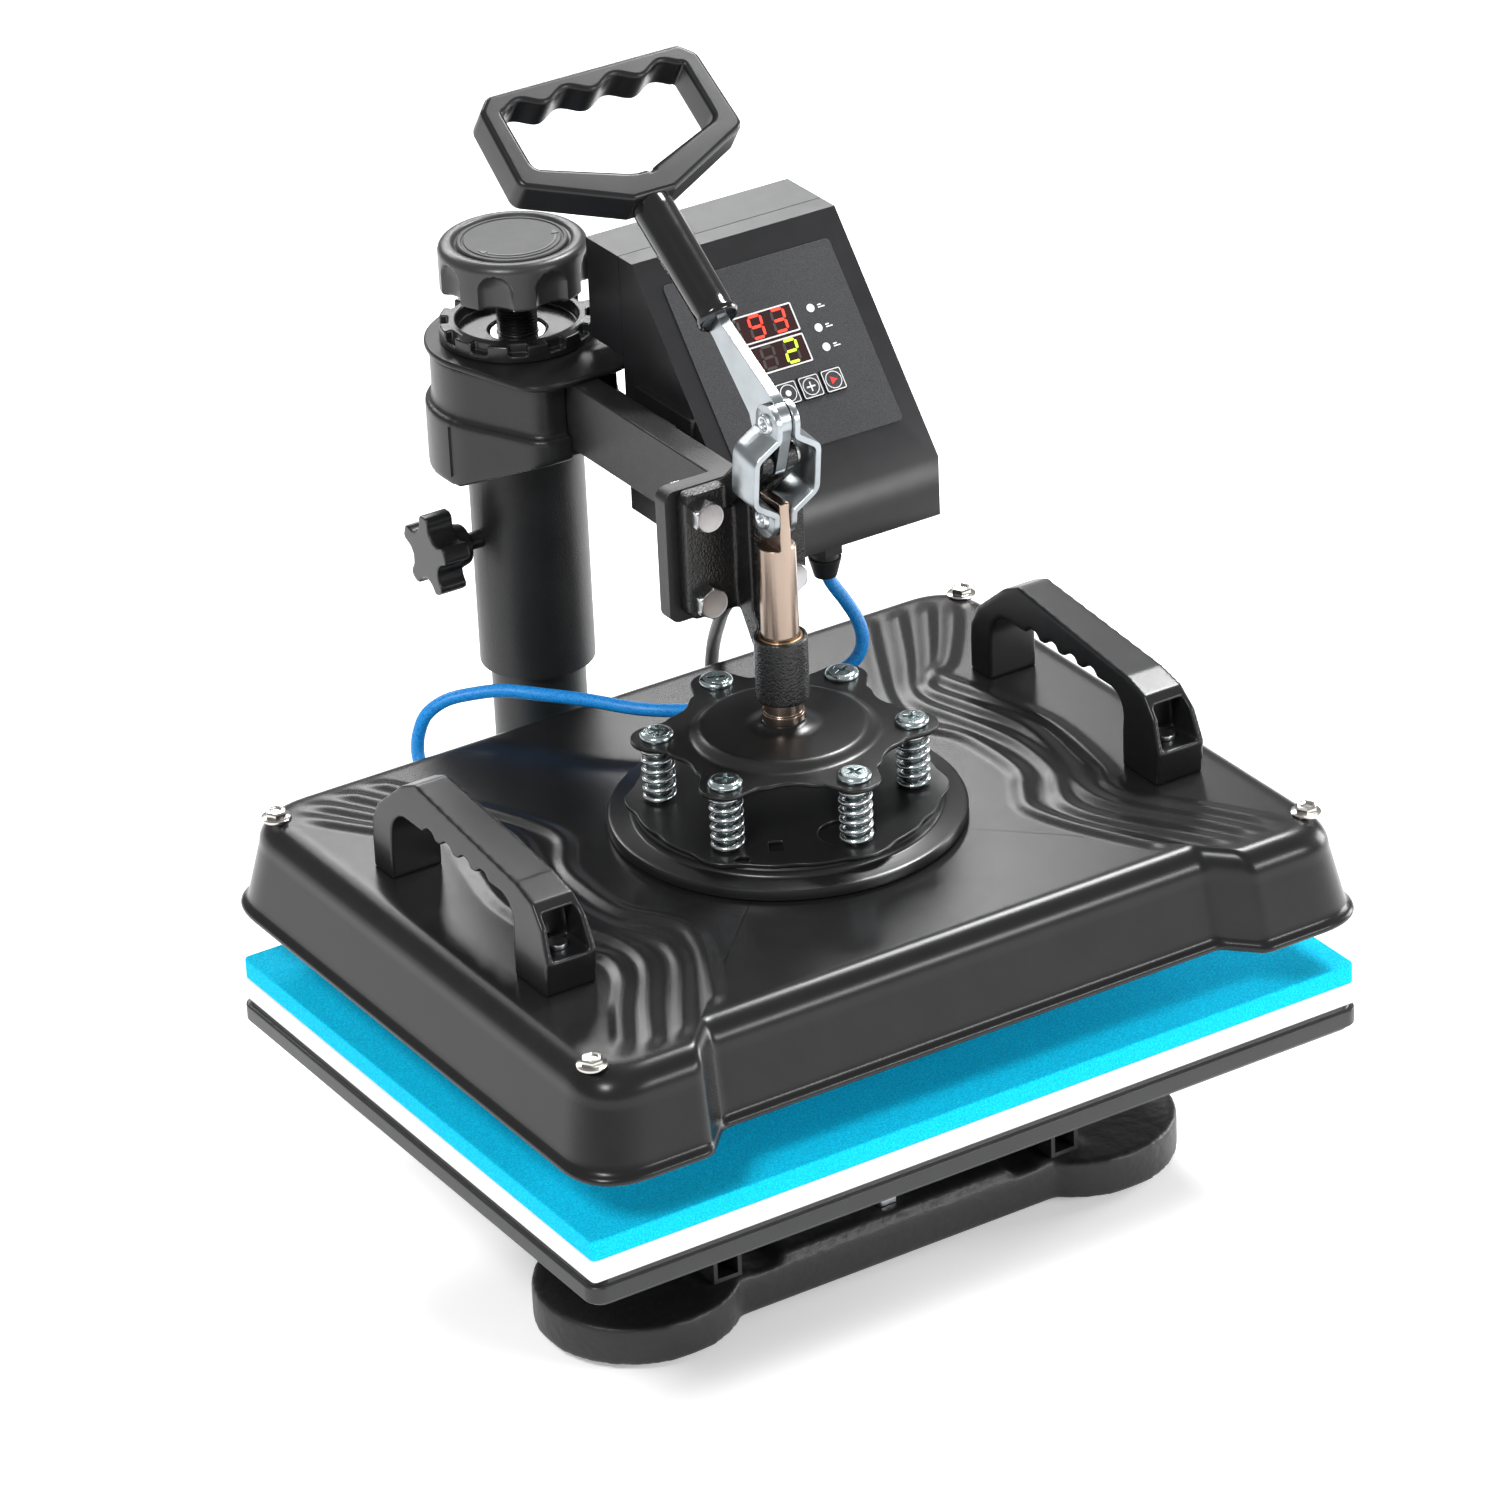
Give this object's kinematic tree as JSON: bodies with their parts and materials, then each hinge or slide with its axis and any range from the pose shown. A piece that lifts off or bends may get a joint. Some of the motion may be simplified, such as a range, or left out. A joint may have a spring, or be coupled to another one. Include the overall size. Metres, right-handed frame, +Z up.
{
  "type": "heat press",
  "caption": "Swing-away flat heat press: a lever and toggle links push a sprung heated head down onto a padded platen; the arm turns about a rear column with a height knob.",
  "frame": {"origin": "on the table under the axis of the press shaft, which is the centre of the lower platen", "axes": "+X to the right of a person standing at the machine, +Y back towards the column, +Z up"},
  "size_m": [0.388, 0.544, 0.4828],
  "materials": {
    "cast_black": "textured powder coat",
    "foot_rubber": "matt",
    "rail_black": "satin paint",
    "zinc": "zinc plated",
    "platen_black": "fine textured paint",
    "silicone_white": "matt silicone",
    "foam_blue": "speckled foam rubber",
    "powder_black": "grained powder coat",
    "bare_steel": "machined",
    "stem_black": "black oxide",
    "knob_plastic": "moulded",
    "badge_plastic": "moulded",
    "bright_steel": "polished",
    "shroud_plastic": "satin moulded",
    "cap_plastic": "satin moulded",
    "ring_plastic": "satin moulded",
    "star_knob_plastic": "moulded",
    "hammertone": "glossy wrinkle paint",
    "bright_zinc": "bright zinc",
    "bronze": "sintered bronze",
    "lever_zinc": "zinc plated strip",
    "grip_vinyl": "glossy vinyl",
    "handle_plastic": "moulded",
    "shaft_bronze": "ground bronze",
    "plate_black": "semi-gloss paint",
    "spring_zinc": "zinc plated wire",
    "screw_zinc": "blue zinc",
    "cover_black": "satin paint",
    "nickel": "nickel plated",
    "plate_aluminium": "ground",
    "element_steel": "heat tinted",
    "insulation": "glass fibre board",
    "carry_plastic": "satin moulded",
    "box_plastic": "satin moulded",
    "membrane": "sparkling film",
    "display": "tinted window",
    "key_cap": "embossed film",
    "board_green": "circuit board",
    "cable_blue": "braided sleeve",
    "gland_black": "moulded nylon",
    "lead_black": "smooth jacket",
    "plug_black": "moulded"
  },
  "bodies": {
    "base": {"base_frame": "cast_black", "rubber_feet": "foot_rubber", "support_rails": "rail_black", "rail_screws": "zinc", "platen_studs": "zinc", "lower_platen": "platen_black", "silicone_pad": "silicone_white", "foam_sheet": "foam_blue", "column_post": "powder_black", "post_bolts": "zinc", "post_cap": "bare_steel"},
    "knob": {"pressure_stem": "stem_black", "pressure_knob": "knob_plastic", "knob_badge": "badge_plastic"},
    "lift": {"lift_nut": "bright_steel", "thrust_washer": "bare_steel"},
    "arm": {"outer_tube": "powder_black", "column_shroud": "shroud_plastic", "saddle_cap": "cap_plastic", "arm_beam": "powder_black", "beam_flange": "powder_black", "head_casting": "hammertone", "head_bolts": "bright_zinc", "shaft_bushes": "bronze", "pivot_pin": "bare_steel", "box_front": "box_plastic", "box_rear": "box_plastic", "box_bracket": "powder_black", "membrane_panel": "membrane", "display_window": "display", "circuit_board": "board_green", "cable_glands": "gland_black", "heater_cable": "cable_blue", "mains_lead": "lead_black", "lead_coil": "lead_black", "mains_plug": "plug_black"},
    "ring": {"lock_ring": "ring_plastic"},
    "clamp": {"clamp_knob": "star_knob_plastic"},
    "lever": {"lever_bar": "lever_zinc", "lever_grip": "grip_vinyl", "lever_handle": "handle_plastic"},
    "links": {"link_plates": "lever_zinc", "link_rivets": "zinc"},
    "plunger": {"press_shaft": "shaft_bronze", "star_plate": "plate_black", "press_springs": "spring_zinc"},
    "head": {"spring_screws": "screw_zinc", "spring_plate": "plate_black", "cover_disc": "plate_black", "head_cover": "cover_black", "cover_screws": "nickel", "heat_plate": "plate_aluminium", "heating_element": "element_steel", "insulation_board": "insulation", "carry_handles": "carry_plastic", "handle_screws": "zinc"},
    "key_1": {"key_1": "key_cap"},
    "key_2": {"key_2": "key_cap"},
    "key_3": {"key_3": "key_cap"},
    "key_4": {"key_4": "key_cap"}
  },
  "joints": [
    {"name": "lift_slide", "type": "slide", "parent": "base", "child": "lift", "axis": [0, 0, 1], "range_m": [0, 0.012]},
    {"name": "knob_turn", "type": "hinge", "parent": "base", "child": "knob", "pos_m": [0, 0.208, 0.37], "axis": [0, 0, 1], "range_deg": [-1730, 0]},
    {"name": "arm_swing", "type": "hinge", "parent": "lift", "child": "arm", "pos_m": [0, 0.208, 0.3], "axis": [0, 0, 1], "range_deg": [0, 90]},
    {"name": "ring_turn", "type": "hinge", "parent": "arm", "child": "ring", "pos_m": [0, 0.208, 0.34], "axis": [0, 0, 1], "range_deg": [-60, 60]},
    {"name": "clamp_turn", "type": "hinge", "parent": "arm", "child": "clamp", "pos_m": [-0.04, 0.208, 0.244], "axis": [1, 0, 0], "range_deg": [-180, 180]},
    {"name": "lever_swing", "type": "hinge", "parent": "arm", "child": "lever", "pos_m": [0, 0, 0.354], "axis": [1, 0, 0], "range_deg": [0, 100.7]},
    {"name": "link_swing", "type": "hinge", "parent": "lever", "child": "links", "pos_m": [0, -0.0057, 0.3732], "axis": [1, 0, 0], "range_deg": [-85.5, 0]},
    {"name": "shaft_slide", "type": "slide", "parent": "arm", "child": "plunger", "axis": [0, 0, -1], "range_m": [0, 0.0252], "deforming": ["heater_cable"]},
    {"name": "head_float", "type": "slide", "parent": "plunger", "child": "head", "axis": [0, 0, 1], "range_m": [0, 0.004], "stiffness_N_per_m": 24000, "springref_m": -0.003, "deforming": ["press_springs"]},
    {"name": "key_1_press", "type": "slide", "parent": "arm", "child": "key_1", "axis": [0, 0.7693, -0.6389], "range_m": [0, 0.0006], "stiffness_N_per_m": 600},
    {"name": "key_2_press", "type": "slide", "parent": "arm", "child": "key_2", "axis": [0, 0.7693, -0.6389], "range_m": [0, 0.0006], "stiffness_N_per_m": 600},
    {"name": "key_3_press", "type": "slide", "parent": "arm", "child": "key_3", "axis": [0, 0.7693, -0.6389], "range_m": [0, 0.0006], "stiffness_N_per_m": 600},
    {"name": "key_4_press", "type": "slide", "parent": "arm", "child": "key_4", "axis": [0, 0.7693, -0.6389], "range_m": [0, 0.0006], "stiffness_N_per_m": 600}
  ],
  "couplings": [
    {"joint": "knob_turn", "follows": "lift_slide", "rad_per_m": -2513.3},
    {"joint": "link_swing", "follows": "lever_swing", "ratio": -0.843},
    {"joint": "shaft_slide", "follows": "lever_swing", "m_per_rad": 0.01428}
  ]
}
